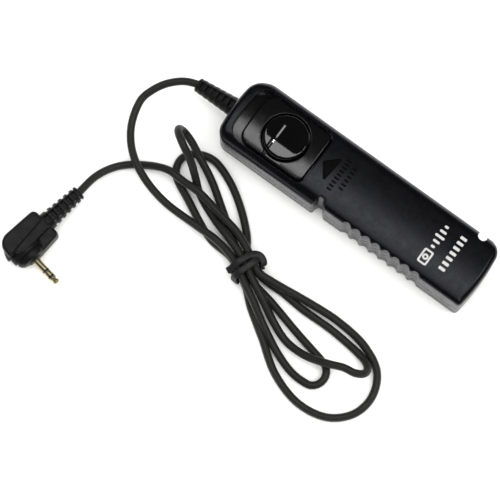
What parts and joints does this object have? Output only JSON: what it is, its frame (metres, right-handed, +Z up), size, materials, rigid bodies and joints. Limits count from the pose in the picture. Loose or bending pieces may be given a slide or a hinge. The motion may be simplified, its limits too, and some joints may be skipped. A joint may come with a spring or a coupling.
{
  "type": "cable shutter release",
  "caption": "Slim wired shutter release: two-shell hand piece with sliding lock plate and round button, tied cable bundle and right-angled jack plug.",
  "frame": {"origin": "bottom centre of the hand piece, on the surface that it and the cable lie on", "axes": "+X runs along the hand piece from the cable end to the far end, +Z is up through the button, -Y is the scalloped finger side"},
  "size_m": [0.1314, 0.0947, 0.0184],
  "materials": {
    "shell": "fine matte texture",
    "gloss": "polished black",
    "boot": "satin soft plastic",
    "jacket": "satin jacket",
    "tie": "satin coated wire",
    "gold": "gold plated, bright",
    "insulator": "polished black",
    "spring_bronze": "rolled strip",
    "steel": "bright",
    "dark_screw": "black oxide",
    "white_plastic": "moulded",
    "laminate": "cut sheet",
    "inner_plastic": "moulded",
    "wire_red": "extruded",
    "wire_white": "extruded",
    "wire_yellow": "extruded",
    "solder": "bright"
  },
  "bodies": {
    "hand_piece": {"top_shell": "shell", "bottom_shell": "shell", "contact_base": "inner_plastic", "contact_common": "spring_bronze", "contact_focus": "spring_bronze", "contact_release": "spring_bronze", "contact_spacers": "laminate", "contact_screws": "steel", "wire_common": "wire_yellow", "wire_focus": "wire_red", "wire_release": "wire_white", "solder_joints": "solder", "cable_end": "jacket", "cable_clamp": "inner_plastic", "clamp_screws": "steel", "case_screws": "dark_screw", "body_strain_relief": "boot", "cable": "jacket", "cable_tie": "tie", "plug_strain_relief": "boot", "plug_body": "boot", "plug_sleeve": "gold", "plug_ring": "gold", "plug_tip": "gold", "plug_insulators": "insulator"},
    "lock_plate": {"lock_slider": "gloss", "return_spring": "steel"},
    "button": {"release_button": "gloss", "plunger": "white_plastic", "plunger_clip": "steel"}
  },
  "joints": [
    {"name": "lock_slide", "type": "slide", "parent": "hand_piece", "child": "lock_plate", "axis": [-1, 0, 0], "range_m": [0, 0.0022]},
    {"name": "shutter_press", "type": "slide", "parent": "lock_plate", "child": "button", "axis": [0, 0, -1], "range_m": [0, 0.0016], "stiffness_N_per_m": 800, "springref_m": -0.0012, "deforming": ["return_spring", "contact_common", "contact_focus", "contact_release"]}
  ]
}
